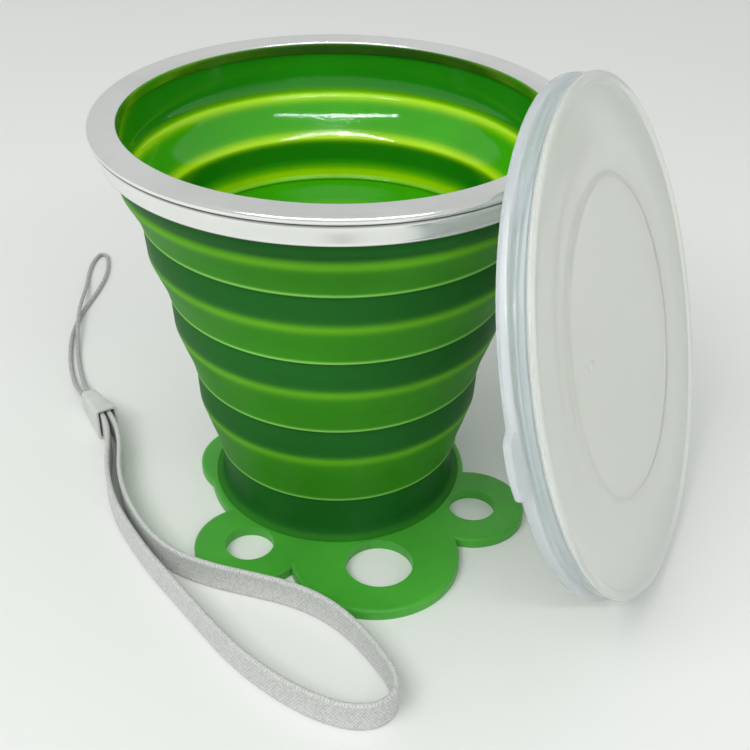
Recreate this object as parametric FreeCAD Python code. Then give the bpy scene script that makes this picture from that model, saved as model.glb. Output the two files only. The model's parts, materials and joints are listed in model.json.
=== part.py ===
"""Collapsible travel cup: a folding silicone cup with a paw-shaped foot, a rolled steel rim,
a snap lid leaning on the rim and a wrist lanyard lying beside it.

Millimetres, +Z up.  The origin is on the table, under the middle of the cup.
"""
import FreeCAD, Part
import math
import os

V = FreeCAD.Vector
os.makedirs("parts", exist_ok=True)

# ---------------------------------------------------------------- driving dimensions
# Cup wall, outside radius and height at each fold line, from the top down.
COLLAR_TOP = (42.6, 81.9)
COLLAR_BAND = (42.3, 77.6)
FOLD_Y1 = (40.2, 72.2)
FOLD_L1 = (36.5, 65.6)
FOLD_Y2 = (36.2, 58.0)
FOLD_L2 = (32.5, 49.9)
FOLD_Y3 = (32.3, 41.9)
FOLD_L3 = (28.5, 32.3)
FOLD_Y4 = (28.4, 23.9)
FOLD_L4 = (24.6, 12.6)
RING_WALL = 2.4            # stiff rings
BASE_WALL = 2.0
COLLAR_WALL = 2.0          # under the steel rim
COLLAR_FOLD_WALL = 1.4     # where the collar runs out into the first web
WEB_WALL = 1.2             # thin webs that turn inside out as the cup folds
RING_BULGE = 0.20          # how far a ring's outside crowns past a straight cone
BASE_FOOT_R = 24.9         # outside of the base where it meets the foot plate
CUP_FLOOR_T = 2.6          # thickness of the cup's floor above the plate

# Steel rim: a strip rolled over the collar.
RIM_R = 45.0               # outside of the bead
RIM_TOP = 83.6
RIM_BEAD_R = 1.7
RIM_INNER_R = 39.7         # opening of the cup's mouth
RIM_SKIRT = (43.1, 77.6)   # lower edge of the outer band
STEEL_T = 0.5

# Foot plate, seen from above: one big lobe in front, two middle lobes, two shallow ones behind.
FOOT_T = 2.2
FOOT_AXIS_DEG = -76.0      # direction of the big lobe; the plate is symmetric about it
FOOT_PAD_R = 27.6
# Each lobe or hole: reach from the cup's axis, turn away from the front, radius.
FOOT_LOBES = {"big": (29.9, 0.0, 17.0), "middle": (31.4, 48.2, 11.3), "back": (17.9, 112.0, 12.4)}
FOOT_HOLES = {"big": (33.6, 0.0, 6.7), "middle": (31.9, 48.0, 4.9)}
FOOT_EDGE_R = 0.7

# Lid: a shallow snap cap, leaning with its open side against the rim.
LID_LIP_R = 48.7
LID_SKIRT_R = 47.4
LID_BEAD_R = 48.4
LID_DEPTH = 6.2
LID_FACE_T = 1.2
LID_DISH = 0.5             # how far the face lies below its raised border and middle disc
LID_INNER_R = 45.9
LID_SNAP_R = 45.2
LID_EMBOSS_R = 28.5        # raised disc in the middle of the face
LID_AZIMUTH_DEG = -25.3    # the lid's face looks this way, seen from above
LID_LEAN_DEG = 18.0        # the top leans this far back towards the cup
LID_REACH = 52.23          # from the cup's axis to the middle of the lid's mouth, along its azimuth
LID_SIDE = 3.3             # and this far across it
LID_LIFT = 0.02            # clearance over the table
TAB_ANGLE_DEG = 266.0      # pull tab's place round the lip, from the lowest point
TAB_HALF_W = 5.6
TAB_REACH = 2.6
TAB_T = 1.1

# Lanyard.
STRING_D = 1.0
STRAP_W = 6.2
STRAP_T = 1.1
FERRULE_START = (-58.9, 24.6)   # narrow end, on the table
FERRULE_END = (-52.3, 12.6)     # mouth
FERRULE_WIDTHS = (3.4, 5.0)     # across, at the narrow end and the mouth
FERRULE_HEIGHTS = (5.0, 8.0)
FERRULE_WALL = 0.6
FERRULE_SOLID = 4.0             # solid stretch behind the narrow end
CRIMP_START = 4.3               # from the narrow end
CRIMP_LENGTH = 3.0
CRIMP_WIDTH = 2.2
CRIMP_Z = (1.7, 3.3)

# Routes of the string and strap on their centre lines; the strap's height is its lower edge's.
STRING_ROUTE = [
    (-57.15, 19.86, 2.5), (-60.2, 25.4, 2.5), (-61.9, 28.7, 1.9), (-63.6, 32.4, 0.9), (-65.3, 37.2, 0.57),
    (-66.9, 43.0, 0.56), (-68.1, 49.4, 0.57), (-68.9, 56.0, 0.56), (-68.9, 62.6, 0.57),
    (-68.2, 69.0, 0.56), (-67.0, 75.2, 0.57), (-65.9, 81.8, 0.56), (-65.3, 88.6, 0.57),
    (-65.7, 94.2, 0.56), (-66.4, 98.4, 0.57), (-67.3, 101.2, 0.56), (-69.2, 101.5, 0.57),
    (-70.0, 98.9, 0.56), (-70.5, 94.9, 0.57), (-70.4, 89.4, 0.56), (-69.8, 83.6, 0.8),
    (-69.2, 76.8, 1.8), (-69.0, 70.1, 2.15), (-68.4, 63.2, 2.15), (-67.4, 56.4, 1.7),
    (-66.3, 49.9, 0.8), (-65.0, 44.0, 0.57), (-63.5, 38.6, 0.6), (-61.8, 33.3, 1.0),
    (-60.4, 29.6, 1.9), (-58.87, 26.09, 2.5), (-55.83, 20.57, 2.5),
]
STRAP_ROUTE = [
    (-52.85, 15.15, 0.68), (-50.8, 11.5, 0.66), (-48.9, 6.8, 0.3), (-47.7, 1.0, 0.02), (-46.9, -5.6, 0.02),
    (-45.1, -12.4, 0.02), (-42.1, -19.4, 0.02), (-37.9, -26.6, 0.02), (-32.4, -32.6, 0.02),
    (-25.2, -36.4, 0.02), (-17.6, -38.9, 0.02), (-9.6, -41.6, 0.02), (-2.7, -45.6, 0.02),
    (2.8, -51.4, 0.02), (7.0, -58.0, 0.02), (9.7, -63.4, 0.02), (10.2, -68.0, 0.02), (7.0, -71.4, 0.02),
    (1.8, -71.7, 0.02), (-4.4, -69.2, 0.02), (-11.6, -64.2, 0.02), (-18.6, -57.6, 0.02),
    (-24.9, -49.4, 0.02), (-31.0, -41.0, 0.02), (-36.8, -33.2, 0.02), (-41.6, -25.4, 0.02),
    (-45.7, -17.9, 0.02), (-48.5, -9.9, 0.02), (-50.0, -2.6, 0.02), (-50.6, 3.4, 0.2),
    (-51.7, 9.4, 0.64), (-54.11, 14.45, 0.68),
]


# ---------------------------------------------------------------- helpers
def save(name, shape):
    solids = shape.Solids
    if len(solids) == 1:
        shape = solids[0]
    if not shape.isValid():
        print("INVALID", name)
    shape.exportStep("parts/" + name + ".step")
    box = shape.BoundBox
    print("%-16s solids %d volume %9.1f  z %.2f..%.2f" % (name, len(solids), shape.Volume, box.ZMin, box.ZMax))


def revolve(edges):
    """Turn a closed outline in the X-Z plane once round the Z axis."""
    face = Part.Face(Part.Wire(Part.__sortEdges__(edges)))
    return face.revolve(V(0, 0, 0), V(0, 0, 1), 360)


def at(radius, height):
    return V(radius, 0, height)


def outline(points):
    """Straight edges round a closed list of (radius, height)."""
    corners = [at(*p) for p in points]
    return [Part.LineSegment(a, b).toShape() for a, b in zip(corners, corners[1:] + corners[:1])]


def disc(x, y, radius, height, base=0.0):
    return Part.makeCylinder(radius, height, V(x, y, base))


def polar(radius, degrees):
    return radius * math.cos(math.radians(degrees)), radius * math.sin(math.radians(degrees))


# ---------------------------------------------------------------- silicone cup
def wall(top, bottom, thickness, bulge=0.0):
    """One band of the cup wall between two fold lines, cut level at both ends."""
    (r_top, z_top), (r_bottom, z_bottom) = top, bottom
    middle = at((r_top + r_bottom) / 2 + bulge, (z_top + z_bottom) / 2)
    inner_middle = at((r_top + r_bottom) / 2 + bulge - thickness, (z_top + z_bottom) / 2)
    a, b = at(r_top, z_top), at(r_bottom, z_bottom)
    c, d = at(r_bottom - thickness, z_bottom), at(r_top - thickness, z_top)
    if bulge:
        outer = Part.Arc(a, middle, b).toShape()
        inner = Part.Arc(c, inner_middle, d).toShape()
    else:
        outer = Part.LineSegment(a, b).toShape()
        inner = Part.LineSegment(c, d).toShape()
    ends = [Part.LineSegment(b, c).toShape(), Part.LineSegment(d, a).toShape()]
    return revolve([outer, inner] + ends)


def silicone_walls():
    save("upper_ring", wall(FOLD_L1, FOLD_Y2, RING_WALL, RING_BULGE))
    save("middle_ring", wall(FOLD_L2, FOLD_Y3, RING_WALL, RING_BULGE))
    save("lower_ring", wall(FOLD_L3, FOLD_Y4, RING_WALL, RING_BULGE))
    save("fold_web_1", wall(FOLD_Y1, FOLD_L1, WEB_WALL))
    save("fold_web_2", wall(FOLD_Y2, FOLD_L2, WEB_WALL))
    save("fold_web_3", wall(FOLD_Y3, FOLD_L3, WEB_WALL))
    save("fold_web_4", wall(FOLD_Y4, FOLD_L4, WEB_WALL))


def rim_collar():
    """Top of the silicone wall, which the steel rim is rolled over."""
    top_r, top_z = COLLAR_TOP
    band_r, band_z = COLLAR_BAND
    fold_r, fold_z = FOLD_Y1
    inner_top = top_r - COLLAR_WALL
    points = [(fold_r, fold_z), (band_r, band_z), (top_r, top_z), (inner_top, top_z),
              (band_r - COLLAR_WALL - 0.3, band_z), (fold_r - COLLAR_FOLD_WALL, fold_z)]
    save("rim_collar", revolve(outline(points)))


def base_cup():
    """Bottom of the cup: a short wall and the floor, standing on the foot plate."""
    r_top, z_top = FOLD_L4
    floor_z = FOOT_T + CUP_FLOOR_T
    inner = r_top - BASE_WALL
    points = [(0, FOOT_T), (BASE_FOOT_R + 0.9, FOOT_T), (BASE_FOOT_R, FOOT_T + 0.9), (r_top, z_top),
              (inner, z_top), (inner, floor_z + 1.5), (inner - 1.5, floor_z), (0, floor_z)]
    save("base_cup", revolve(outline(points)))


def foot_plate():
    plate = disc(0, 0, FOOT_PAD_R, FOOT_T)
    for name, (reach, turn, radius) in FOOT_LOBES.items():
        for side in (-1, 1):
            x, y = polar(reach, FOOT_AXIS_DEG + side * turn)
            plate = plate.fuse(disc(x, y, radius, FOOT_T))
            if turn == 0:
                break
    plate = plate.removeSplitter()
    rims = [e for e in plate.Edges if abs(e.BoundBox.ZMin - FOOT_T) < 1e-4]
    plate = plate.makeFillet(FOOT_EDGE_R, rims)
    for name, (reach, turn, radius) in FOOT_HOLES.items():
        for side in (-1, 1):
            x, y = polar(reach, FOOT_AXIS_DEG + side * turn)
            plate = plate.cut(disc(x, y, radius, FOOT_T + 2, -1))
            print("foot hole", name, "at %.3f %.3f" % (x, y), "radius", radius)
            if turn == 0:
                break
    save("foot_plate", plate)


# ---------------------------------------------------------------- steel rim
def steel_rim():
    """Rolled strip: inner lip, flat top, round outer bead and a tapered outer band."""
    skirt_r, skirt_z = RIM_SKIRT
    bead_z = RIM_TOP - RIM_BEAD_R
    bead_mid_r = RIM_R - RIM_BEAD_R
    half = math.sqrt(0.5) * RIM_BEAD_R
    neck_r = RIM_R - 0.9
    neck_z = bead_z - RIM_BEAD_R + 0.3
    inside = skirt_r - STEEL_T
    lip = RIM_INNER_R + STEEL_T
    edges = [
        Part.LineSegment(at(RIM_INNER_R, RIM_TOP - 3.0), at(RIM_INNER_R, RIM_TOP - 0.5)).toShape(),
        Part.LineSegment(at(RIM_INNER_R, RIM_TOP - 0.5), at(RIM_INNER_R + 0.5, RIM_TOP)).toShape(),
        Part.LineSegment(at(RIM_INNER_R + 0.5, RIM_TOP), at(bead_mid_r, RIM_TOP)).toShape(),
        Part.Arc(at(bead_mid_r, RIM_TOP), at(bead_mid_r + half, bead_z + half), at(RIM_R, bead_z)).toShape(),
        Part.LineSegment(at(RIM_R, bead_z), at(neck_r, neck_z)).toShape(),
        Part.LineSegment(at(neck_r, neck_z), at(skirt_r, skirt_z)).toShape(),
        Part.LineSegment(at(skirt_r, skirt_z), at(inside, skirt_z)).toShape(),
        Part.LineSegment(at(inside, skirt_z), at(inside + 0.35, RIM_TOP - STEEL_T - 1.0)).toShape(),
        Part.LineSegment(at(inside + 0.35, RIM_TOP - STEEL_T - 1.0), at(lip, RIM_TOP - STEEL_T - 1.0)).toShape(),
        Part.LineSegment(at(lip, RIM_TOP - STEEL_T - 1.0), at(lip, RIM_TOP - 3.0)).toShape(),
        Part.LineSegment(at(lip, RIM_TOP - 3.0), at(RIM_INNER_R, RIM_TOP - 3.0)).toShape(),
    ]
    save("steel_rim", revolve(edges))


# ---------------------------------------------------------------- lid
def lid_placement():
    """Stand the lip on the table, the face turned away from the cup and the top against the rim."""
    height = LID_LIP_R * math.cos(math.radians(LID_LEAN_DEG)) + LID_LIFT
    tip = FreeCAD.Placement(V(LID_REACH, LID_SIDE, height), FreeCAD.Rotation(V(0, 1, 0), 90 - LID_LEAN_DEG))
    swing = FreeCAD.Placement(V(0, 0, 0), FreeCAD.Rotation(V(0, 0, 1), LID_AZIMUTH_DEG))
    return swing.multiply(tip)


def lid():
    """Snap cap, modelled mouth down at z = 0 with its face on top, then leaned."""
    face_in = LID_DEPTH - LID_FACE_T
    points = [
        (LID_SNAP_R + 0.5, 0), (LID_LIP_R, 0), (LID_LIP_R, 2.0), (LID_SKIRT_R + 0.1, 2.4),
        (LID_SKIRT_R, 4.4), (LID_BEAD_R, 4.9), (LID_BEAD_R, 5.7), (LID_BEAD_R - 0.6, LID_DEPTH),
        (LID_BEAD_R - 1.6, LID_DEPTH), (LID_BEAD_R - 2.1, LID_DEPTH - LID_DISH),
        (LID_EMBOSS_R + 0.4, LID_DEPTH - LID_DISH), (LID_EMBOSS_R, LID_DEPTH), (0, LID_DEPTH),
        (0, face_in), (LID_EMBOSS_R, face_in),
        (LID_EMBOSS_R + 0.4, face_in - LID_DISH), (LID_INNER_R, face_in - LID_DISH),
        (LID_INNER_R, 2.3), (LID_SNAP_R, 1.6), (LID_SNAP_R, 0.7),
    ]
    cap = revolve(outline(points))
    x, y = polar(LID_LIP_R + TAB_REACH - TAB_HALF_W, TAB_ANGLE_DEG)
    tab = disc(x, y, TAB_HALF_W, TAB_T).cut(disc(0, 0, LID_LIP_R - 1.0, 3 * TAB_T, -TAB_T))
    cap = cap.fuse(tab).removeSplitter()
    cap.Placement = lid_placement()
    save("lid", cap)
    print("lid face corner", cap.Placement.multVec(V(LID_BEAD_R, 0, LID_DEPTH)))


# ---------------------------------------------------------------- lanyard
def smooth_path(points):
    """Straight runs joined by tangent arcs; returns the wire, the edges and each arc's radius."""
    points = [V(*p) if len(p) == 3 else V(p[0], p[1], 0) for p in points]
    edges, radii = [], []
    start = points[0]
    for before, corner, after in zip(points, points[1:], points[2:]):
        into, out = corner - before, after - corner
        cut = 0.45 * min(into.Length, out.Length)
        u, w = V(into).normalize(), V(out).normalize()
        half_turn = into.getAngle(out) / 2
        radius = cut / math.tan(half_turn)
        a, b = corner - u * cut, corner + w * cut
        inward = (w - u).normalize()
        mid = corner + inward * (radius / math.cos(half_turn) - radius)
        edges.append(Part.LineSegment(start, a).toShape())
        edges.append(Part.Arc(a, mid, b).toShape())
        radii.append(radius)
        start = b
    edges.append(Part.LineSegment(start, points[-1]).toShape())
    return Part.Wire(edges), radii


def report_cord(name, wire, radii, section, solid):
    print("%-12s length %.1f mm, tightest radii %s, volume ratio %.4f" % (
        name, wire.Length, " ".join("%.1f" % r for r in sorted(radii)[:6]), solid.Volume / (section * wire.Length)))


def string_loop():
    wire, radii = smooth_path(STRING_ROUTE)
    start = wire.Edges[0]
    ring = Part.Wire(Part.Circle(start.valueAt(start.FirstParameter), start.tangentAt(start.FirstParameter),
                                 STRING_D / 2).toShape())
    tube = wire.makePipeShell([ring], True, False)
    report_cord("string", wire, radii, math.pi * STRING_D ** 2 / 4, tube)
    save("string_loop", tube)
    return tube


def wrist_strap():
    """One band of webbing on edge, out of the ferrule, round the loop and back beside itself."""
    wire, radii = smooth_path(STRAP_ROUTE)
    start = wire.Edges[0]
    point, along = start.valueAt(start.FirstParameter), start.tangentAt(start.FirstParameter)
    across = V(-along.y, along.x, 0).normalize() * (STRAP_T / 2)
    up = V(0, 0, STRAP_W)
    corners = [point - across, point + across, point + across + up, point - across + up]
    sweep = Part.BRepOffsetAPI.MakePipeShell(wire)
    sweep.setBiNormalMode(V(0, 0, 1))
    sweep.add(Part.makePolygon(corners + corners[:1]))
    sweep.build()
    sweep.makeSolid()
    band = sweep.shape()
    report_cord("strap", wire, radii, STRAP_W * STRAP_T, band)
    save("wrist_strap", band)
    return band


def ferrule_frame():
    start, end = V(*FERRULE_START, 0), V(*FERRULE_END, 0)
    along = (end - start).normalize()
    return start, end, along, V(-along.y, along.x, 0)


def tapered_box(near, far, across, widths, heights, floor=0.0):
    """Loft between two upright rectangles, both standing on the same level."""
    loops = []
    for place, width, height in ((near, widths[0], heights[0]), (far, widths[1], heights[1])):
        side, low, top = across * (width / 2), V(0, 0, floor), V(0, 0, height)
        corners = [place - side + low, place + side + low, place + side + top, place - side + top]
        loops.append(Part.makePolygon(corners + corners[:1]))
    return Part.makeLoft(loops, True, True)


def string_crimp(string):
    """Metal sleeve inside the ferrule that holds the string's two ends."""
    start, _, along, across = ferrule_frame()
    side = across * (CRIMP_WIDTH / 2)
    low, high = V(0, 0, CRIMP_Z[0]), V(0, 0, CRIMP_Z[1] - CRIMP_Z[0])
    near = start + along * CRIMP_START + low
    corners = [near - side, near + side, near + side + high, near - side + high]
    block = Part.Face(Part.makePolygon(corners + corners[:1])).extrude(along * CRIMP_LENGTH)
    save("string_crimp", block.cut(string))


def cord_end(string):
    """Tapered plastic ferrule with an open mouth for the strap and a solid, drilled narrow end."""
    start, end, along, across = ferrule_frame()
    body = tapered_box(start, end, across, FERRULE_WIDTHS, FERRULE_HEIGHTS)
    share = FERRULE_SOLID / (end - start).Length
    widths = [w - 2 * FERRULE_WALL for w in FERRULE_WIDTHS]
    tops = [h - FERRULE_WALL for h in FERRULE_HEIGHTS]
    inner_width = widths[0] + (widths[1] - widths[0]) * share
    inner_top = tops[0] + (tops[1] - tops[0]) * share
    pocket = tapered_box(start + along * FERRULE_SOLID, end, across,
                         (inner_width, widths[1]), (inner_top, tops[1]), FERRULE_WALL)
    save("cord_end", body.cut(pocket).cut(string))


foot_plate()
base_cup()
silicone_walls()
rim_collar()
steel_rim()
lid()
string = string_loop()
wrist_strap()
string_crimp(string)
cord_end(string)
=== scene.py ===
"""Looks of the collapsible travel cup: silicone wall, steel rim, frosted lid and wrist lanyard.

Metres, +Z up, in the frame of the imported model.  Small sizes are written in millimetres times MM.
"""
import json
import math

import bpy
from mathutils import Matrix, Vector


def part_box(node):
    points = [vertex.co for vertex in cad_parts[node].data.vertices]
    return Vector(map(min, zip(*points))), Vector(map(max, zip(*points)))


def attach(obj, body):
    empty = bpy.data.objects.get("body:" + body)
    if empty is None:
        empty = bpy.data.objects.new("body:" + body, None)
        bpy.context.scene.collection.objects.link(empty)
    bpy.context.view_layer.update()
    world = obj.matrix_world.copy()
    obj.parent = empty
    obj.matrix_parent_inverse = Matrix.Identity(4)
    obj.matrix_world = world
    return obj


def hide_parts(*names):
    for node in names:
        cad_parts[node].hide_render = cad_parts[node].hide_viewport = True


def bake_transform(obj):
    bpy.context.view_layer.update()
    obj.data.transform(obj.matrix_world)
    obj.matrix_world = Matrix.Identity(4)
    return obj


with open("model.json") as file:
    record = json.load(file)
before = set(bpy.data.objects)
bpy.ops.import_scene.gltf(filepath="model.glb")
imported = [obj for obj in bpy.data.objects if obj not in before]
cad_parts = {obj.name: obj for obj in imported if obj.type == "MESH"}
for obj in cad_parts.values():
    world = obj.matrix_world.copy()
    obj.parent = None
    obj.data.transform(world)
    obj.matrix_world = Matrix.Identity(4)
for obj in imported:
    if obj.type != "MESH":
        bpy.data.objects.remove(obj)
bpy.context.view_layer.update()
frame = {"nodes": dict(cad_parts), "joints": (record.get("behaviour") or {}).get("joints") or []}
MM = 0.001

# ---------------------------------------------------------------- camera, lights and view
CAMERA_BACK = 0.20514        # in front of the cup's axis
CAMERA_HEIGHT = 0.16111
CAMERA_YAW = 2.19            # degrees, turned to the right
CAMERA_PITCH = 33.5          # degrees below the horizon
CAMERA_ROLL = 1.06
CAMERA_LENS = 56.2
CAMERA_NEAR = 0.01
FLOOR_HALF = 3.0
FLOOR_COLOUR = (0.80, 0.81, 0.79)
WORLD_COLOUR = (0.86, 0.88, 0.87, 1.0)
WORLD_STRENGTH = 0.70
# name, place, the point it shines at, width, height, watts, whether it shows in reflections
AREA_LIGHTS = [
    ("key", (-0.45, -0.35, 0.75), (0, 0, 0.03), 0.5, 0.5, 2.9, False),
    ("fill", (0.6, -0.5, 0.5), (0, 0, 0.04), 0.6, 0.6, 0.6, False),
    ("strip", (0.0, -0.46, 0.47), (0, 0.03, 0.07), 0.8, 0.008, 1.3, True),
]

# ---------------------------------------------------------------- routes of the cords
# The same points as in the part, in metres.
STRING_ROUTE = [
    (-0.05715, 0.01986, 0.0025), (-0.0602, 0.0254, 0.0025), (-0.0619, 0.0287, 0.0019),
    (-0.0636, 0.0324, 0.0009), (-0.0653, 0.0372, 0.00057), (-0.0669, 0.043, 0.00056),
    (-0.0681, 0.0494, 0.00057), (-0.0689, 0.056, 0.00056), (-0.0689, 0.0626, 0.00057),
    (-0.0682, 0.069, 0.00056), (-0.067, 0.0752, 0.00057), (-0.0659, 0.0818, 0.00056),
    (-0.0653, 0.0886, 0.00057), (-0.0657, 0.0942, 0.00056), (-0.0664, 0.0984, 0.00057),
    (-0.0673, 0.1012, 0.00056), (-0.0692, 0.1015, 0.00057), (-0.07, 0.0989, 0.00056),
    (-0.0705, 0.0949, 0.00057), (-0.0704, 0.0894, 0.00056), (-0.0698, 0.0836, 0.0008),
    (-0.0692, 0.0768, 0.0018), (-0.069, 0.0701, 0.00215), (-0.0684, 0.0632, 0.00215),
    (-0.0674, 0.0564, 0.0017), (-0.0663, 0.0499, 0.0008), (-0.065, 0.044, 0.00057),
    (-0.0635, 0.0386, 0.0006), (-0.0618, 0.0333, 0.001), (-0.0604, 0.0296, 0.0019),
    (-0.05887, 0.02609, 0.0025), (-0.05583, 0.02057, 0.0025),
]
STRAP_ROUTE = [
    (-0.05285, 0.01515, 0.00068), (-0.0508, 0.0115, 0.00066), (-0.0489, 0.0068, 0.0003),
    (-0.0477, 0.001, 0.00002), (-0.0469, -0.0056, 0.00002), (-0.0451, -0.0124, 0.00002),
    (-0.0421, -0.0194, 0.00002), (-0.0379, -0.0266, 0.00002), (-0.0324, -0.0326, 0.00002),
    (-0.0252, -0.0364, 0.00002), (-0.0176, -0.0389, 0.00002), (-0.0096, -0.0416, 0.00002),
    (-0.0027, -0.0456, 0.00002), (0.0028, -0.0514, 0.00002), (0.007, -0.058, 0.00002),
    (0.0097, -0.0634, 0.00002), (0.0102, -0.068, 0.00002), (0.007, -0.0714, 0.00002),
    (0.0018, -0.0717, 0.00002), (-0.0044, -0.0692, 0.00002), (-0.0116, -0.0642, 0.00002),
    (-0.0186, -0.0576, 0.00002), (-0.0249, -0.0494, 0.00002), (-0.031, -0.041, 0.00002),
    (-0.0368, -0.0332, 0.00002), (-0.0416, -0.0254, 0.00002), (-0.0457, -0.0179, 0.00002),
    (-0.0485, -0.0099, 0.00002), (-0.05, -0.0026, 0.00002), (-0.0506, 0.0034, 0.0002),
    (-0.0517, 0.0094, 0.00064), (-0.05411, 0.01445, 0.00068),
]
STRING_D = 1.0 * MM
STRAP_W = 6.2 * MM
STRAP_T = 1.1 * MM

# ---------------------------------------------------------------- sizes that the frame doesn't state
RING_WALL = 2.4 * MM
BASE_WALL = 2.0 * MM
WEB_WALL = 1.2 * MM
COLLAR_MID_Z = 78.0 * MM     # the collar is straight from its top down to here
COLLAR_LOW_Z = 75.2 * MM     # and turns into the first crest under here
BASE_LOW_Z = 8.5 * MM        # the base's wall is straight below this height
BASE_FLARE = 1.2 * MM        # how far the base's foot stands out past its top
CUP_FLOOR_T = 2.6 * MM
LIP_OUT = 0.75 * MM          # how far a web's lower lip stands out past the ring under it
LID_LIP_R = 48.7 * MM
LID_SKIRT_R = 47.4 * MM
LID_BEAD_R = 48.4 * MM       # the rounded edge between skirt and face
LID_DEPTH = 6.2 * MM
LID_FACE_T = 1.2 * MM
LID_DISH = 0.5 * MM          # the face beside the bead lies this much under the bead's top
LID_SAG = 0.8 * MM           # and round the disc it lies this much deeper still
LID_DISC_DROP = 0.8 * MM     # the disc's top under the bead's top
LID_INNER_R = 45.9 * MM
LID_SNAP_R = 45.2 * MM       # the ridge inside the lip that snaps under the rim
LID_EMBOSS_R = 29.5 * MM     # the disc in the middle of the face
LID_FLAT_R = 38.5 * MM       # the face starts to sag inside this radius
LID_LIFT = 0.02 * MM
GATE_R = 0.7 * MM            # mould gate mark in the middle of the lid's face
TAB_ANGLE = math.radians(266)    # round the lid, from its lowest edge to the middle of the pull tab
TAB_HALF = math.radians(6.6)     # half the tab's width, as an angle at the lid's middle
TAB_REACH = 2.6 * MM
RIB_PITCH = 0.62 * MM        # of the webbing's cross ribs
WEBBING_ROWS = 7             # rows of loops across the webbing
FERRULE_START = Vector((-58.9 * MM, 24.6 * MM, 0))
FERRULE_END = Vector((-52.3 * MM, 12.6 * MM, 0))
FERRULE_WIDTHS = (3.4 * MM, 5.0 * MM)
FERRULE_HEIGHTS = (5.0 * MM, 8.0 * MM)
FERRULE_WALL = 0.6 * MM
FERRULE_BORE_CORNER = 0.35 * MM

# ---------------------------------------------------------------- the cup's wall in pieces
# name, body under its web, body above it, nodes that it stands in for
CUP_PIECES = [
    ("cup_mouth_wall", "upper", "rim", ("rim_collar", "fold_web_1", "upper_ring")),
    ("cup_upper_wall", "middle", "upper", ("fold_web_2", "middle_ring")),
    ("cup_lower_wall", "lower", "middle", ("fold_web_3", "lower_ring")),
    ("cup_bottom", "base", "lower", ("fold_web_4", "base_cup")),
]


# ---------------------------------------------------------------- geometry helpers
def half_width(node):
    low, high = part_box(node)
    return (high.x - low.x) / 2


def smoothstep(low, high, x):
    t = max(0.0, min(1.0, (x - low) / (high - low)))
    return t * t * (3 - 2 * t)


def through(points, steps):
    """Catmull-Rom curve through a list of points of any dimension."""
    made = []
    last = len(points) - 1
    for i in range(last):
        p0, p1, p2, p3 = points[max(i - 1, 0)], points[i], points[i + 1], points[min(i + 2, last)]
        for k in range(steps):
            t = k / steps
            made.append(tuple(
                0.5 * (2 * b + (c - a) * t + (2 * a - 5 * b + 4 * c - d) * t * t
                       + (3 * b - a - 3 * c + d) * t ** 3)
                for a, b, c, d in zip(p0, p1, p2, p3)))
    made.append(tuple(points[last]))
    return made


def new_mesh(name, verts, faces, material, sharp=35):
    """A smooth-shaded piece whose edges stay hard where they turn by more than sharp degrees."""
    mesh = bpy.data.meshes.new(name)
    mesh.from_pydata(verts, [], faces)
    mesh.validate()
    piece = bpy.data.objects.new(name, mesh)
    bpy.context.scene.collection.objects.link(piece)
    mesh.materials.append(material)
    mesh.shade_smooth()
    mesh.set_sharp_from_angle(angle=math.radians(sharp))
    return piece


def revolve(name, profile, material, segments=240, shift=None):
    """Turn a closed outline of (radius, height) points round Z.

    Points on the axis become one vertex.  shift(radius, height, angle), when given, is added to each radius.
    """
    on_axis = 1e-7
    verts, rings = [], []
    for radius, height in profile:
        if radius < on_axis:
            rings.append([len(verts)] * segments)
            verts.append((0, 0, height))
            continue
        ring = []
        for k in range(segments):
            angle = 2 * math.pi * k / segments
            r = radius + (shift(radius, height, angle) if shift else 0)
            ring.append(len(verts))
            verts.append((r * math.cos(angle), r * math.sin(angle), height))
        rings.append(ring)
    faces = []
    for a, b in zip(rings, rings[1:] + rings[:1]):
        for k in range(segments):
            j = (k + 1) % segments
            face = [a[k], a[j], b[j], b[k]]
            face = [v for i, v in enumerate(face) if v not in face[:i]]
            if len(face) > 2:
                faces.append(face)
    return new_mesh(name, verts, faces, material)


def paint(piece, name, function):
    """Store function(radius, height) of each vertex as a named value that materials read."""
    layer = piece.data.attributes.new(name, "FLOAT", "POINT")
    known = {}
    for i, vertex in enumerate(piece.data.vertices):
        key = (round(math.hypot(vertex.co.x, vertex.co.y), 6), round(vertex.co.z, 6))
        if key not in known:
            known[key] = function(*key)
        layer.data[i].value = known[key]


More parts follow.
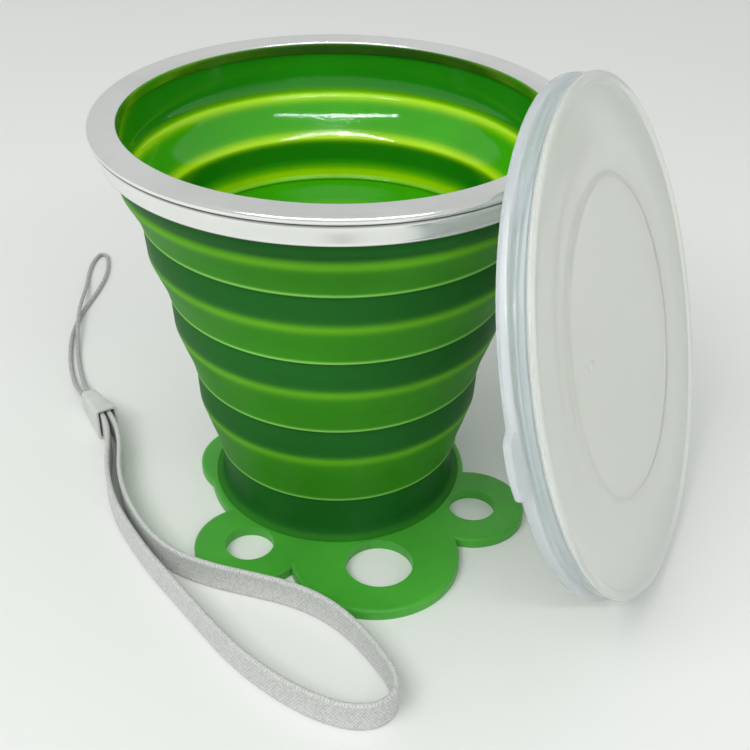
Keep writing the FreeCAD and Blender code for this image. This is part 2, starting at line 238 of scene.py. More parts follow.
# ---------------------------------------------------------------- material helpers
class Nodes:
    """Short names for building a node tree."""

    def __init__(self, name):
        self.material = bpy.data.materials.new(name)
        self.material.use_nodes = True
        self.tree = self.material.node_tree
        self.shader = self.tree.nodes["Principled BSDF"]

    def add(self, kind, **settings):
        node = self.tree.nodes.new(kind)
        for key, value in settings.items():
            setattr(node, key, value)
        return node

    def link(self, source, target):
        self.tree.links.new(source, target)

    def put(self, socket, value):
        """Link the socket to another node's output, or set it to a plain value."""
        if hasattr(value, "is_output"):
            self.link(value, socket)
        else:
            socket.default_value = value

    def set(self, **values):
        """Set the shader's own inputs; an underscore stands for a space."""
        for key, value in values.items():
            self.shader.inputs[key.replace("_", " ")].default_value = value

    def noise(self, scale, detail=4, roughness=0.55, stretch=(1, 1, 1)):
        mapping = self.add("ShaderNodeMapping")
        mapping.inputs["Scale"].default_value = stretch
        self.link(self.add("ShaderNodeTexCoord").outputs["Object"], mapping.inputs["Vector"])
        node = self.add("ShaderNodeTexNoise")
        node.inputs["Scale"].default_value = scale
        node.inputs["Detail"].default_value = detail
        node.inputs["Roughness"].default_value = roughness
        self.link(mapping.outputs["Vector"], node.inputs["Vector"])
        return node.outputs["Fac"]

    def value(self, name):
        """A value that was painted on the piece."""
        return self.add("ShaderNodeAttribute", attribute_name=name).outputs["Fac"]

    def math(self, operation, a, b=0.0):
        node = self.add("ShaderNodeMath", operation=operation)
        self.put(node.inputs[0], a)
        self.put(node.inputs[1], b)
        return node.outputs[0]

    def ramp(self, fac, stops):
        node = self.add("ShaderNodeValToRGB")
        points = node.color_ramp.elements
        while len(points) < len(stops):
            points.new(0.5)
        for point, (place, colour) in zip(points, stops):
            point.position = place
            point.color = (*colour, 1)
        self.link(fac, node.inputs["Fac"])
        return node.outputs["Color"]

    def mix(self, fac, a, b, blend="MIX"):
        node = self.add("ShaderNodeMix", data_type="RGBA", blend_type=blend)
        self.put(node.inputs["Factor"], fac)
        colour_sockets = node.inputs[6], node.inputs[7]
        for socket, colour in zip(colour_sockets, (a, b)):
            self.put(socket, colour if hasattr(colour, "is_output") else (*colour, 1))
        colour_output = node.outputs[2]
        return colour_output

    def span(self, fac, low, high):
        """Spread 0 to 1 over low to high."""
        node = self.add("ShaderNodeMapRange")
        node.inputs["To Min"].default_value = low
        node.inputs["To Max"].default_value = high
        self.link(fac, node.inputs["Value"])
        return node.outputs["Result"]

    def bump(self, height, strength, distance):
        node = self.add("ShaderNodeBump")
        node.inputs["Strength"].default_value = strength
        node.inputs["Distance"].default_value = distance
        self.link(height, node.inputs["Height"])
        self.link(node.outputs["Normal"], self.shader.inputs["Normal"])

    def colour(self, output):
        self.link(output, self.shader.inputs["Base Color"])


# ---------------------------------------------------------------- materials
def silicone_wall():
    """Moulded green silicone with painted light: dark where it is thick, lime where painted light shines
    through the thin folds, painted highlights along crests and valleys, and the inside painted brighter than
    the outside.
    """
    m = Nodes("silicone_wall")
    # painted light: the webs are painted lighter than the rings, and the crests and valleys get painted
    # highlights
    outside = m.mix(m.value("web"), (0.011, 0.112, 0.013), (0.036, 0.235, 0.009))
    outside = m.mix(m.math("MULTIPLY", m.value("crest"), 0.75), outside, (0.135, 0.43, 0.012))
    outside = m.mix(m.value("valley"), outside, (0.20, 0.52, 0.085))
    # painted light: the inside uses brighter copies of the same silicone's colours
    inside = m.mix(m.value("web"), (0.012, 0.225, 0.004), (0.048, 0.420, 0.002))
    inside = m.mix(m.value("crest"), inside, (0.42, 0.80, 0.002))
    inside = m.mix(m.value("valley"), inside, (0.50, 0.86, 0.004))
    colour = m.mix(m.value("inside"), outside, inside)
    cloud = m.ramp(m.noise(38, 3), [(0.3, (0.84, 0.84, 0.84)), (0.7, (1.12, 1.12, 1.12))])
    m.colour(m.mix(0.7, colour, cloud, "MULTIPLY"))
    patches = m.noise(90, 4)
    dull = m.span(patches, 0.42, 0.56)
    glossy = m.span(patches, 0.05, 0.08)
    rough = m.math("ADD", m.math("MULTIPLY", dull, m.math("SUBTRACT", 1.0, m.value("inside"))),
                   m.math("MULTIPLY", glossy, m.value("inside")))
    m.link(rough, m.shader.inputs["Roughness"])
    m.link(m.span(m.value("inside"), 0.09, 0.5), m.shader.inputs["Specular IOR Level"])
    m.bump(m.noise(1300, 2, 0.5), 0.32, 0.05 * MM)
    return m.material


def silicone_foot():
    """The same silicone on the flat foot, lit more evenly, with faint scuffs."""
    m = Nodes("silicone_foot")
    cloud = m.ramp(m.noise(60, 4), [(0.32, (0.042, 0.310, 0.020)), (0.68, (0.062, 0.400, 0.028))])
    m.colour(cloud)
    m.link(m.span(m.noise(140, 5), 0.38, 0.55), m.shader.inputs["Roughness"])
    m.bump(m.noise(2200, 3, 0.6), 0.12, 0.05 * MM)
    m.set(Specular_IOR_Level=0.45, Sheen_Weight=0.12, Sheen_Roughness=0.5)
    return m.material


def polished_steel(name, with_painted_shade):
    """Rolled stainless strip: bright, with hairlines along the strip and a few dull patches, and, when asked,
    painted shade that darkens it nearly to black in the groove, along the lower edge and on the lip inside
    the mouth.
    """
    m = Nodes(name)
    tone = m.ramp(m.noise(45, 5), [(0.35, (0.84, 0.85, 0.83)), (0.65, (0.94, 0.95, 0.93))])
    if with_painted_shade:
        # painted shade: the groove value darkens the steel where shade and dark reflections fall
        tone = m.mix(m.value("groove"), tone, (0.030, 0.030, 0.028))
    m.colour(tone)
    m.link(m.span(m.noise(120, 5, 0.6), 0.13, 0.26), m.shader.inputs["Roughness"])
    m.bump(m.noise(420, 5, 0.65, (1, 1, 14)), 0.05, 0.05 * MM)
    m.set(Metallic=1.0)
    return m.material


def frosted_lid():
    """Translucent moulded plastic: a clearer bluish skirt, a milky face, flow marks, a fine matt grain and
    painted shade in the skirt's hollow.
    """
    m = Nodes("frosted_lid")
    face = m.ramp(m.noise(16, 3), [(0.3, (0.93, 0.95, 0.87)), (0.7, (0.98, 0.99, 0.94))])
    tone = m.mix(m.value("skirt"), face, (0.93, 0.97, 1.0))
    # painted shade in the hollow of the skirt
    m.colour(m.mix(m.value("groove"), tone, (0.72, 0.80, 0.82)))
    rough = m.span(m.noise(70, 4), 0.24, 0.36)
    smoother = m.math("MULTIPLY", m.value("skirt"), 0.12)
    m.link(m.math("SUBTRACT", rough, smoother), m.shader.inputs["Roughness"])
    m.link(m.span(m.value("skirt"), 0.58, 0.66), m.shader.inputs["Transmission Weight"])
    m.bump(m.noise(900, 3, 0.6, (1, 1, 0.3)), 0.10, 0.05 * MM)
    m.set(IOR=1.46, Specular_IOR_Level=0.5)
    return m.material


def webbing():
    """Narrow grey webbing: fine cross ribs, rows of loops and a little fuzz."""
    m = Nodes("webbing")
    along, across = m.value("along"), m.value("across")
    rib = m.math("SINE", m.math("MULTIPLY", along, 2 * math.pi / RIB_PITCH))
    row = m.math("SINE", m.math("MULTIPLY", across, 2 * math.pi * WEBBING_ROWS))
    weave = m.math("MULTIPLY", rib, row)
    fuzz = m.noise(1800, 4, 0.7)
    height = m.math("ADD", m.math("MULTIPLY", weave, 0.5), fuzz)
    shade = m.math("ADD", m.math("MULTIPLY", weave, 0.16), fuzz)
    m.colour(m.ramp(shade, [
        (0.2, (0.36, 0.37, 0.36)), (0.55, (0.57, 0.58, 0.56)), (0.9, (0.76, 0.77, 0.75)),
    ]))
    m.bump(height, 0.55, 0.12 * MM)
    m.set(Roughness=0.78, Sheen_Weight=0.35, Sheen_Roughness=0.4, Specular_IOR_Level=0.3)
    return m.material


def braided_string():
    """Thin grey cord whose strands show as streaks."""
    m = Nodes("braided_string")
    strands = m.noise(2600, 3, 0.6, (1, 0.4, 1))
    m.colour(m.ramp(strands, [(0.3, (0.27, 0.28, 0.27)), (0.7, (0.52, 0.53, 0.52))]))
    m.bump(strands, 0.6, 0.1 * MM)
    m.set(Roughness=0.7, Sheen_Weight=0.25, Sheen_Roughness=0.4)
    return m.material


def ferrule_plastic():
    """Pale grey moulded plastic with a matt grain."""
    m = Nodes("ferrule_plastic")
    m.colour(m.ramp(m.noise(220, 4), [(0.3, (0.56, 0.59, 0.55)), (0.7, (0.64, 0.67, 0.63))]))
    m.link(m.span(m.noise(300, 4), 0.42, 0.6), m.shader.inputs["Roughness"])
    m.bump(m.noise(2400, 3), 0.15, 0.05 * MM)
    m.set(Specular_IOR_Level=0.45)
    return m.material


def pale_floor():
    """A plain table top, very slightly uneven in tone."""
    m = Nodes("pale_floor")
    lighter = tuple(1.02 * c for c in FLOOR_COLOUR)
    m.colour(m.ramp(m.noise(6, 4), [(0.3, FLOOR_COLOUR), (0.7, lighter)]))
    m.link(m.span(m.noise(14, 4), 0.5, 0.62), m.shader.inputs["Roughness"])
    m.bump(m.noise(900, 3), 0.04, 0.05 * MM)
    return m.material


# ---------------------------------------------------------------- silicone cup
WEBS = ["fold_web_1", "fold_web_2", "fold_web_3", "fold_web_4"]
RINGS = ["upper_ring", "middle_ring", "lower_ring"]


def fold_stations():
    """Outside (radius, height) where each web begins, its crest, and where it ends, its valley, top down."""
    crests = [(half_width(n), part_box(n)[1].z) for n in WEBS]
    valleys = [(half_width(n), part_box(n)[1].z) for n in RINGS]
    valleys.append((half_width("base_cup") - BASE_FLARE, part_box(WEBS[-1])[0].z))
    return crests, valleys


CRESTS, VALLEYS = fold_stations()


def outer_line():
    """Outside of the wall from the collar's top down to the foot, as (radius, height)."""
    top_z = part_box("rim_collar")[1].z
    points = [(42.5 * MM, top_z), (42.3 * MM, COLLAR_MID_Z), (41.6 * MM, COLLAR_LOW_Z)]
    for i, ((crest_r, crest_z), (valley_r, valley_z)) in enumerate(zip(CRESTS, VALLEYS)):
        fall_r, fall_z = crest_r - valley_r, crest_z - valley_z
        points += [
            (crest_r + 0.36 * MM, crest_z + 1.4 * MM),
            (crest_r + 0.30 * MM, crest_z + 0.3 * MM),
            (crest_r + 0.02 * MM, crest_z - 0.6 * MM),
            (crest_r - 0.26 * fall_r, crest_z - 0.36 * fall_z),
            (crest_r - 0.56 * fall_r, crest_z - 0.68 * fall_z),
            (valley_r + LIP_OUT + 0.06 * MM, valley_z + 0.10 * MM),
            (valley_r + LIP_OUT, valley_z - 0.40 * MM),
            (valley_r + LIP_OUT * 0.55, valley_z - 0.72 * MM),
            (valley_r + 0.10 * MM, valley_z - 1.0 * MM),
            (valley_r + 0.14 * MM, valley_z - 1.8 * MM),
        ]
        if i < len(RINGS):
            next_r, next_z = CRESTS[i + 1]
            points.append(((valley_r + next_r) / 2 + 0.38 * MM, (valley_z + next_z) / 2))
    foot_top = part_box("foot_plate")[1].z
    base_r = VALLEYS[-1][0]
    points += [(base_r, BASE_LOW_Z), (base_r, 5.2 * MM), (base_r + 0.10 * MM, 4.0 * MM),
               (base_r + 0.45 * MM, 3.0 * MM), (base_r + 1.1 * MM, foot_top + 0.25 * MM),
               (base_r + 2.0 * MM, foot_top - 0.05 * MM)]
    return through(points, steps=6)


def inner_line():
    """Inside of the wall from the collar's top down to the middle of the cup's floor."""
    top_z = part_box("rim_collar")[1].z
    points = [(40.5 * MM, top_z), (40.1 * MM, COLLAR_MID_Z), (39.6 * MM, COLLAR_LOW_Z)]
    for i, ((crest_r, crest_z), (valley_r, valley_z)) in enumerate(zip(CRESTS, VALLEYS)):
        slope = (crest_r - valley_r) / (crest_z - valley_z)
        web_wall = WEB_WALL * math.hypot(1, slope)
        wall_above = web_wall if i == 0 else RING_WALL
        wall_below = RING_WALL if i < len(RINGS) else BASE_WALL
        crest_drop = (wall_above - web_wall) / slope
        valley_drop = (wall_below - web_wall) / slope
        points += [
            (crest_r - wall_above + 0.15 * MM, crest_z - crest_drop + 1.3 * MM),
            (crest_r - wall_above + 0.05 * MM, crest_z - crest_drop + 0.25 * MM),
            (crest_r - wall_above - 0.40 * MM, crest_z - crest_drop - 0.5 * MM),
            ((crest_r + valley_r) / 2 - web_wall + 0.25 * MM, (crest_z + valley_z) / 2),
            (valley_r - wall_below + 0.45 * MM, valley_z - valley_drop + 0.75 * MM),
            (valley_r - wall_below + 0.08 * MM, valley_z - valley_drop - 0.15 * MM),
            (valley_r - wall_below, valley_z - valley_drop - 1.2 * MM),
        ]
    floor_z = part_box("foot_plate")[1].z + CUP_FLOOR_T
    inner_r = VALLEYS[-1][0] - BASE_WALL
    points += [(inner_r, BASE_LOW_Z), (inner_r - 0.3 * MM, floor_z + 1.6 * MM),
               (inner_r - 1.6 * MM, floor_z + 0.25 * MM), (inner_r - 4 * MM, floor_z),
               (12 * MM, floor_z), (4 * MM, floor_z), (0.0, floor_z)]
    return through(points, steps=6)


def stretch_between(line, high, low):
    """The points of a falling line between two heights, with an end made exactly at each."""
    kept = []
    for (r0, z0), (r1, z1) in zip(line, line[1:]):
        if z1 <= high < z0:
            share = (z0 - high) / (z0 - z1)
            kept.append((r0 + (r1 - r0) * share, high))
        if low < z0 <= high:
            kept.append((r0, z0))
        if z1 <= low < z0:
            share = (z0 - low) / (z0 - z1)
            kept.append((r0 + (r1 - r0) * share, low))
            return kept
    kept.append(line[-1])
    return kept


def thin_web(z, inside):
    """1 on a thin web, 0 on a stiff ring, and 0.5 outside where the base runs into the foot; the wall's
    material paints light where this is high, through the thin webs and on the base near the foot.
    """
    drop = 1.6 * MM if inside else 0.7 * MM
    web = max(smoothstep(valley - drop - 0.15 * MM, valley - drop + 0.15 * MM, z)
              * smoothstep(crest + 1.6 * MM, crest - 0.3 * MM, z)
              for (_, crest), (_, valley) in zip(CRESTS, VALLEYS))
    return web if inside else max(web, 0.5 * smoothstep(3.4 * MM, 2.2 * MM, z))


def peak(z, middle, width):
    """A bell-shaped 0 to 1 about a height."""
    return math.exp(-((z - middle) / width) ** 2)


def valley_glow(z, inside):
    """Peaks of painted light along the valleys: a painted highlight on a narrow lip outside, a wide strip of
    painted light through the thin wall inside.
    """
    line, width = (-1.2 * MM, 0.85 * MM) if inside else (-0.22 * MM, 0.30 * MM)
    return max(peak(z, valley + line, width) for _, valley in VALLEYS)


def crest_glow(z, inside):
    """Soft peaks of painted light along the crests, where light shines through the thin hinge; the first one
    inside lies higher, because the collar above it is thin.
    """
    first_line, line = (-0.2 * MM, -1.6 * MM) if inside else (0.1 * MM, 0.1 * MM)
    lines = [first_line] + [line] * len(RINGS)
    return max(peak(z, crest + shift, 1.0 * MM) for shift, (_, crest) in zip(lines, CRESTS))


def dividing_radius(outer, z):
    """A radius between the wall's outside and its inside at a height."""
    skin = 0.55 * MM
    (top_r, top_z), (foot_r, _) = outer[0], outer[-1]
    for (_, z0), (r1, z1) in zip(outer, outer[1:]):
        if z1 <= z <= z0:
            return r1 - skin
    return top_r - skin if z > top_z else foot_r - 3 * MM


def cup_wall(material):
    """Four pieces from mid-ring to mid-ring; each holds one web."""
    outer, inner = outer_line(), inner_line()
    seams = [(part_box(n)[0].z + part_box(n)[1].z) / 2 for n in RINGS]
    above_wall, below_wall = 1.0, -1.0
    highs = [above_wall] + seams
    lows = seams + [below_wall]

    def is_inside(radius, z):
        return radius < dividing_radius(outer, z)

    for i, (name, lower_body, upper_body, nodes) in enumerate(CUP_PIECES):
        outside = stretch_between(outer, highs[i], lows[i])
        inside = stretch_between(inner, highs[i], lows[i])
        underside = [(0.0, outside[-1][1])] if name == "cup_bottom" else []
        piece = revolve(name, outside + underside + inside[::-1], material)
        paint(piece, "inside", lambda radius, z: 1.0 if is_inside(radius, z) else 0.0)
        # web, valley and crest hold where the wall's colour paints light, glow and highlights
        paint(piece, "web", lambda radius, z: thin_web(z, is_inside(radius, z)))
        paint(piece, "valley", lambda radius, z: valley_glow(z, is_inside(radius, z)))
        paint(piece, "crest", lambda radius, z: crest_glow(z, is_inside(radius, z)))
        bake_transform(piece)
        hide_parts(*nodes)


# ---------------------------------------------------------------- steel rim
def steel_rim(material):
    """A strip rolled over the collar: flat top, rounded brow, a groove and a sloping side."""
    r, top, bottom = half_width("steel_rim"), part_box("steel_rim")[1].z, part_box("steel_rim")[0].z
    groove_z = top - 1.75 * MM
    edge_z = bottom + 0.10 * MM
    control = [
        (r - 5.25 * MM, top - 2.7 * MM), (r - 5.30 * MM, top - 1.2 * MM), (r - 5.25 * MM, top - 0.55 * MM),
        (r - 4.85 * MM, top - 0.12 * MM), (r - 4.1 * MM, top - 0.02 * MM), (r - 2.6 * MM, top - 0.05 * MM),
        (r - 1.1 * MM, top - 0.06 * MM), (r - 0.42 * MM, top - 0.28 * MM), (r - 0.06 * MM, top - 0.72 * MM),
        (r, top - 1.10 * MM), (r - 0.12 * MM, top - 1.48 * MM), (r - 0.45 * MM, groove_z),
        (r - 0.36 * MM, groove_z - 0.28 * MM), (r - 0.40 * MM, groove_z - 0.8 * MM),
        (r - 1.25 * MM, bottom + 1.2 * MM), (r - 1.50 * MM, bottom + 0.5 * MM),
        (r - 1.50 * MM, bottom + 0.25 * MM), (r - 1.62 * MM, bottom + 0.04 * MM),
        (r - 1.95 * MM, bottom + 0.02 * MM), (r - 2.10 * MM, bottom + 0.35 * MM),
        (r - 2.0 * MM, bottom + 2.5 * MM), (r - 2.0 * MM, top - 1.8 * MM), (r - 2.4 * MM, top - 1.2 * MM),
        (r - 4.3 * MM, top - 1.2 * MM), (r - 4.75 * MM, top - 1.5 * MM), (r - 4.8 * MM, top - 2.6 * MM),
    ]
    profile = through(control + control[:1], steps=5)[:-1]
    piece = revolve("steel_rim_strip", profile, material, segments=320)

    def rim_painted_shade(radius, z):
        """Painted shade: the groove, the cut lower edge and the shaded lip inside the mouth."""
        under_lip = smoothstep(top - 0.6 * MM, top - 1.3 * MM, z)
        at_mouth = smoothstep(r - 5.0 * MM, r - 5.15 * MM, radius)
        at_brow = smoothstep(r - 2.0 * MM, r - 1.0 * MM, radius)
        groove = peak(z, groove_z, 0.20 * MM) * at_brow
        return max(0.6 * under_lip * at_mouth, groove, 0.8 * peak(z, edge_z, 0.13 * MM))

    paint(piece, "groove", rim_painted_shade)
    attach(piece, "rim")
    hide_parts("steel_rim")


# ---------------------------------------------------------------- lid
def lid_matrix():
    """The lid's own frame, leaned against the rim: z = 0 at its mouth, x towards its lowest edge."""
    joint = next(j for j in frame["joints"] if j["name"] == "lid_tip")
    axis, pivot = Vector(joint["axis"]), Vector(joint["pos_m"])
    azimuth = math.atan2(-axis.x, axis.y)
    lean = math.radians(joint["range_deg"][1] - 90)
    outward = Vector((math.cos(azimuth), math.sin(azimuth), 0))
    across = Vector((-math.sin(azimuth), math.cos(azimuth), 0))
    normal = outward * math.cos(lean) + Vector((0, 0, math.sin(lean)))
    down = outward * math.sin(lean) - Vector((0, 0, math.cos(lean)))
    centre = pivot - down * LID_BEAD_R - normal * LID_DEPTH
    centre.z = LID_LIP_R * math.cos(lean) + LID_LIFT
    return Matrix.Translation(centre) @ Matrix((down, across, normal)).transposed().to_4x4()


def lid(material):
    """A shallow cap with a snap ridge, a grooved skirt, a pull tab and a raised disc on its face."""
    panel = LID_DEPTH - LID_DISH
    around_disc = panel - LID_SAG
    disc = LID_DEPTH - LID_DISC_DROP
    control = [
        (LID_SNAP_R + 0.5 * MM, 0.05 * MM), (LID_LIP_R - 0.5 * MM, 0.0), (LID_LIP_R - 0.05 * MM, 0.35 * MM),
        (LID_LIP_R, 1.2 * MM), (LID_LIP_R - 0.1 * MM, 1.95 * MM), (LID_SKIRT_R + 0.3 * MM, 2.35 * MM),
        (LID_SKIRT_R, 2.9 * MM), (LID_SKIRT_R, 4.1 * MM), (LID_SKIRT_R + 0.35 * MM, 4.55 * MM),
        (LID_BEAD_R - 0.05 * MM, 4.95 * MM), (LID_BEAD_R, 5.4 * MM), (LID_BEAD_R - 0.25 * MM, 5.95 * MM),
        (LID_BEAD_R - 0.8 * MM, LID_DEPTH), (LID_BEAD_R - 1.5 * MM, LID_DEPTH - 0.08 * MM),
        (LID_BEAD_R - 2.2 * MM, panel), (LID_BEAD_R - 3.2 * MM, panel - 0.05 * MM),
        (LID_FLAT_R, panel), (LID_EMBOSS_R + 4.5 * MM, (panel + around_disc) / 2),
        (LID_EMBOSS_R + 1.7 * MM, around_disc), (LID_EMBOSS_R + 1.2 * MM, around_disc - 0.05 * MM),
        (LID_EMBOSS_R + 0.7 * MM, around_disc + 0.1 * MM), (LID_EMBOSS_R + 0.3 * MM, disc - 0.1 * MM),
        (LID_EMBOSS_R - 0.2 * MM, disc), (LID_EMBOSS_R - 1.2 * MM, disc - 0.12 * MM),
        (15 * MM, disc - 0.05 * MM), (GATE_R + 0.6 * MM, disc - 0.05 * MM),
        (GATE_R, disc - 0.03 * MM), (GATE_R * 0.5, disc), (0.0, disc), (0.0, disc - LID_FACE_T),
        (LID_EMBOSS_R - 1 * MM, disc - LID_FACE_T), (LID_EMBOSS_R + 0.6 * MM, around_disc - LID_FACE_T),
        (LID_FLAT_R - 3 * MM, panel - 0.35 * MM - LID_FACE_T), (LID_FLAT_R, panel - LID_FACE_T),
        (LID_INNER_R - 0.8 * MM, panel - LID_FACE_T), (LID_INNER_R, panel - LID_FACE_T - 0.7 * MM),
        (LID_INNER_R, 2.5 * MM), (LID_SNAP_R + 0.1 * MM, 1.8 * MM), (LID_SNAP_R, 1.1 * MM),
        (LID_SNAP_R + 0.15 * MM, 0.5 * MM),
    ]
    outer_pole, inner_pole = (i for i, point in enumerate(control) if point[0] == 0.0)
    outside = through(control[:outer_pole + 1], steps=4)
    inside = through(control[inner_pole:] + control[:1], steps=4)[:-1]

    def tab(radius, height, angle):
        """How far the pull tab draws the lip out."""
        turn = abs((angle - TAB_ANGLE + math.pi) % (2 * math.pi) - math.pi)
        place = smoothstep(TAB_HALF * 1.12, TAB_HALF * 0.88, turn)
        on_lip = smoothstep(LID_LIP_R - 1.0 * MM, LID_LIP_R - 0.3 * MM, radius)
        low_down = smoothstep(2.0 * MM, 1.3 * MM, height)
        bow = 1 - 0.25 * (turn / TAB_HALF) ** 2
        return TAB_REACH * place * on_lip * low_down * bow

    def groove(radius, height):
        """Painted shade in the hollow of the skirt between lip and bead."""
        above_lip = smoothstep(2.1 * MM, 2.6 * MM, height)
        under_bead = smoothstep(4.7 * MM, 4.3 * MM, height)
        outside_only = smoothstep(LID_SKIRT_R - 0.9 * MM, LID_SKIRT_R - 0.3 * MM, radius)
        return above_lip * under_bead * outside_only

    def skirt(radius, height):
        """1 on the side and on the whole inside, 0 on the outer face."""
        if radius < LID_INNER_R:
            return smoothstep(4.8 * MM, 4.6 * MM, height)
        return smoothstep(5.6 * MM, 4.9 * MM, height)

    piece = revolve("lid_cap", outside + inside, material, segments=480, shift=tab)
    paint(piece, "skirt", skirt)
    paint(piece, "groove", groove)
    piece.data.transform(lid_matrix())
    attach(piece, "lid")
    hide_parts("lid")


# ---------------------------------------------------------------- lanyard
def nurbs_route(name, route):
    """A curve object on the route's points, smooth, from the first point to the last."""
    curve = bpy.data.curves.new(name, "CURVE")
    curve.dimensions = "3D"
    spline = curve.splines.new("NURBS")
    spline.points.add(len(route) - 1)
    for point, place in zip(spline.points, route):
        point.co = (*place, 1)
    spline.order_u = 3
    spline.use_endpoint_u = True
    spline.resolution_u = 10
    made = bpy.data.objects.new(name, curve)
    bpy.context.scene.collection.objects.link(made)
    return made


def route_points(route):
    """Points along the route's own smooth curve."""
    guide = nurbs_route("guide", route)
    bpy.context.view_layer.update()
    mesh = bpy.data.meshes.new_from_object(guide)
    points = [v.co.copy() for v in mesh.vertices]
    bpy.data.objects.remove(guide)
    bpy.data.meshes.remove(mesh)
    return points


def string_loop(material):
    """The thin cord, a round bevel on its route."""
    string = nurbs_route("string_cord", STRING_ROUTE)
    string.data.bevel_depth = STRING_D / 2
    string.data.bevel_resolution = 5
    string.data.materials.append(material)
    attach(string, "lanyard")
    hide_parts("string_loop")


def strap_section():
    """Across the webbing as (out, up): a flat band with rounded, slightly thicker selvedges."""
    half = STRAP_T / 2
    edge = 0.9 * MM
    lower = [(0.30 * half, 0.02 * MM), (0.85 * half, 0.22 * MM), (half, edge * 0.6), (0.92 * half, edge),
             (0.80 * half, edge * 1.25)]
    upper = [(x, STRAP_W - z) for x, z in lower[::-1]]
    side = lower + [(0.82 * half, STRAP_W / 2)] + upper
    return side + [(-x, z) for x, z in side[::-1]]


def tube_faces(loops, size):
    """Faces between loops of size points each, one after the other, with both ends closed."""
    faces = [(i * size + k, i * size + (k + 1) % size, (i + 1) * size + (k + 1) % size, (i + 1) * size + k)
             for i in range(loops - 1) for k in range(size)]
    faces.append(tuple(range(size))[::-1])
    faces.append(tuple((loops - 1) * size + k for k in range(size)))
    return faces


def wrist_strap(material):
    """The webbing's section carried along its route, standing on its edge."""
    path = route_points(STRAP_ROUTE)
    section = strap_section()
    verts, along = [], []
    travelled = 0.0
    for i, point in enumerate(path):
        before, after = path[max(i - 1, 0)], path[min(i + 1, len(path) - 1)]
        travelled += (point - before).length
        ahead = (after - before).normalized()
        out = Vector((ahead.y, -ahead.x, 0)).normalized()
        for x, z in section:
            verts.append(point + out * x + Vector((0, 0, z)))
            along.append(travelled)
    across = [z / STRAP_W for _, z in section] * len(path)
    strap = new_mesh("wrist_webbing", verts, tube_faces(len(path), len(section)), material, sharp=50)
    for name, values in (("along", along), ("across", across)):
        strap.data.attributes.new(name, "FLOAT", "POINT").data.foreach_set("value", values)
    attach(strap, "lanyard")
    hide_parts("wrist_strap")


def ferrule(material):
    """Tapered cord end with rounded corners and an open mouth."""
    length = (FERRULE_END - FERRULE_START).length
    ahead = (FERRULE_END - FERRULE_START).normalized()
    across = Vector((-ahead.y, ahead.x, 0))

    def loop(share, width, bottom, top, radius):
        """Rounded upright rectangle at a share of the ferrule's length."""
        place = FERRULE_START + ahead * length * share
        points = []
        for corner in range(4):
            side = 1 if corner in (0, 3) else -1
            up = 1 if corner in (0, 1) else -1
            cx = side * (width / 2 - radius)
            cz = (top - radius) if up > 0 else (bottom + radius)
            for k in range(5):
                angle = math.pi / 2 * (corner + k / 4)
                points.append(place + across * (cx + radius * math.cos(angle))
                              + Vector((0, 0, cz + radius * math.sin(angle))))
        return points

    def size_at(share):
        """Outside width and height at a share of the length."""
        return tuple(a + (b - a) * share for a, b in (FERRULE_WIDTHS, FERRULE_HEIGHTS))

    # share of the length, growth and corner radius in millimetres; the ends are rounded off
    outside = [(0.0, -0.7, 0.5), (0.02, -0.25, 0.7), (0.06, 0.0, 0.8), (0.3, 0.0, 0.8),
               (0.65, 0.0, 0.8), (0.95, 0.0, 0.8), (0.99, -0.06, 0.75), (1.0, -0.22, 0.7)]
    loops = []
    for share, growth, corner in outside:
        width, height = size_at(share)
        loops.append(loop(share, width + growth * MM, max(0.0, -growth * MM / 2),
                          height + growth * MM / 2, corner * MM))
    for share in (1.0, 0.97, 0.7, 0.32):
        width, height = size_at(share)
        loops.append(loop(share, width - 2 * FERRULE_WALL, FERRULE_WALL,
                          height - FERRULE_WALL, FERRULE_BORE_CORNER))
    verts = [point for ring in loops for point in ring]
    faces = tube_faces(len(loops), len(loops[0]))
    piece = new_mesh("ferrule_shell", verts, faces, material, sharp=40)
    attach(piece, "lanyard")
    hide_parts("cord_end")
    return piece


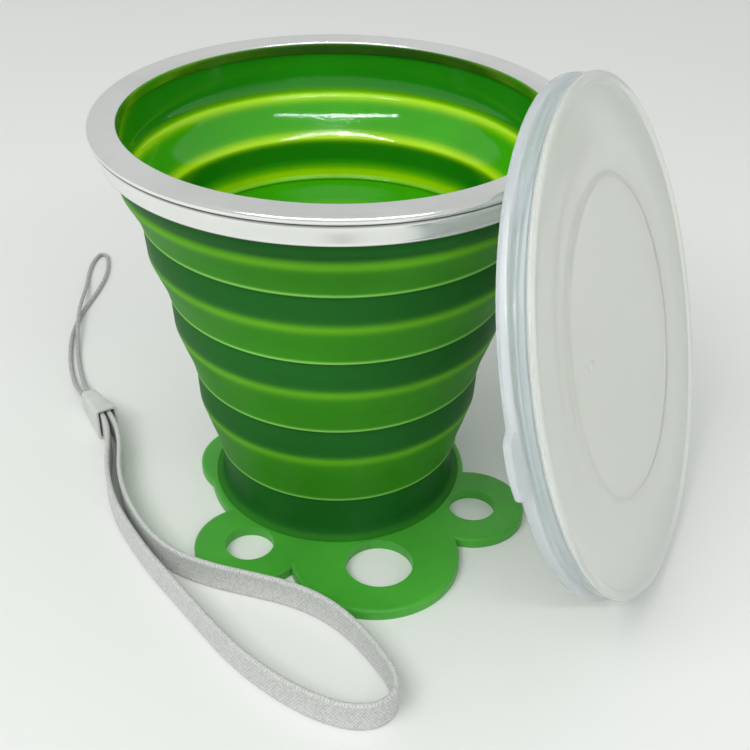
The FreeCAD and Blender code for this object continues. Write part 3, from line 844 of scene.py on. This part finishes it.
# ---------------------------------------------------------------- stage
def stage():
    """The pale floor and the even light from all round."""
    corners = [(x * FLOOR_HALF, y * FLOOR_HALF, 0) for x, y in ((-1, -1), (1, -1), (1, 1), (-1, 1))]
    floor = new_mesh("floor", corners, [(0, 1, 2, 3)], pale_floor())
    world = bpy.data.worlds.new("studio")
    world.use_nodes = True
    background = world.node_tree.nodes["Background"]
    background.inputs["Color"].default_value = WORLD_COLOUR
    background.inputs["Strength"].default_value = WORLD_STRENGTH
    bpy.context.scene.world = world


def area_light(name, place, target, width, height, watts, in_reflections):
    """A rectangular lamp that faces its target."""
    lamp = bpy.data.lights.new(name, "AREA")
    lamp.shape = "RECTANGLE"
    lamp.size, lamp.size_y, lamp.energy = width, height, watts
    made = bpy.data.objects.new(name, lamp)
    made.location = place
    made.visible_glossy = in_reflections
    made.rotation_euler = (Vector(target) - Vector(place)).to_track_quat("-Z", "Y").to_euler()
    bpy.context.scene.collection.objects.link(made)


def camera():
    """The photograph's viewing angle."""
    yaw, pitch, roll = (math.radians(a) for a in (CAMERA_YAW, CAMERA_PITCH, CAMERA_ROLL))
    ahead = Vector((math.sin(yaw) * math.cos(pitch), math.cos(yaw) * math.cos(pitch), -math.sin(pitch)))
    level = Vector((math.cos(yaw), -math.sin(yaw), 0))
    above = level.cross(ahead)
    right = level * math.cos(roll) + above * math.sin(roll)
    up = above * math.cos(roll) - level * math.sin(roll)
    data = bpy.data.cameras.new("camera")
    data.lens = CAMERA_LENS
    data.sensor_width = 36
    data.clip_start = CAMERA_NEAR
    turn = Matrix((right, up, -ahead)).transposed().to_4x4()
    made = bpy.data.objects.new("camera", data)
    made.matrix_world = Matrix.Translation((0, -CAMERA_BACK, CAMERA_HEIGHT)) @ turn
    bpy.context.scene.collection.objects.link(made)
    bpy.context.scene.camera = made


def refinish(node, material):
    """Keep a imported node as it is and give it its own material."""
    node.data.materials.clear()
    node.data.materials.append(material)


# ---------------------------------------------------------------- make it all
camera()
bpy.context.scene.view_settings.view_transform = "Standard"
crimp = frame["nodes"]["string_crimp"]
cord_end = ferrule(ferrule_plastic())
string_loop(braided_string())
wrist_strap(webbing())
cup_wall(silicone_wall())
steel_rim(polished_steel("rim_steel_strip", True))
lid(frosted_lid())
refinish(frame["nodes"]["foot_plate"], silicone_foot())
refinish(crimp, polished_steel("crimp_steel", False))
stage()
for light in AREA_LIGHTS:
    area_light(*light)
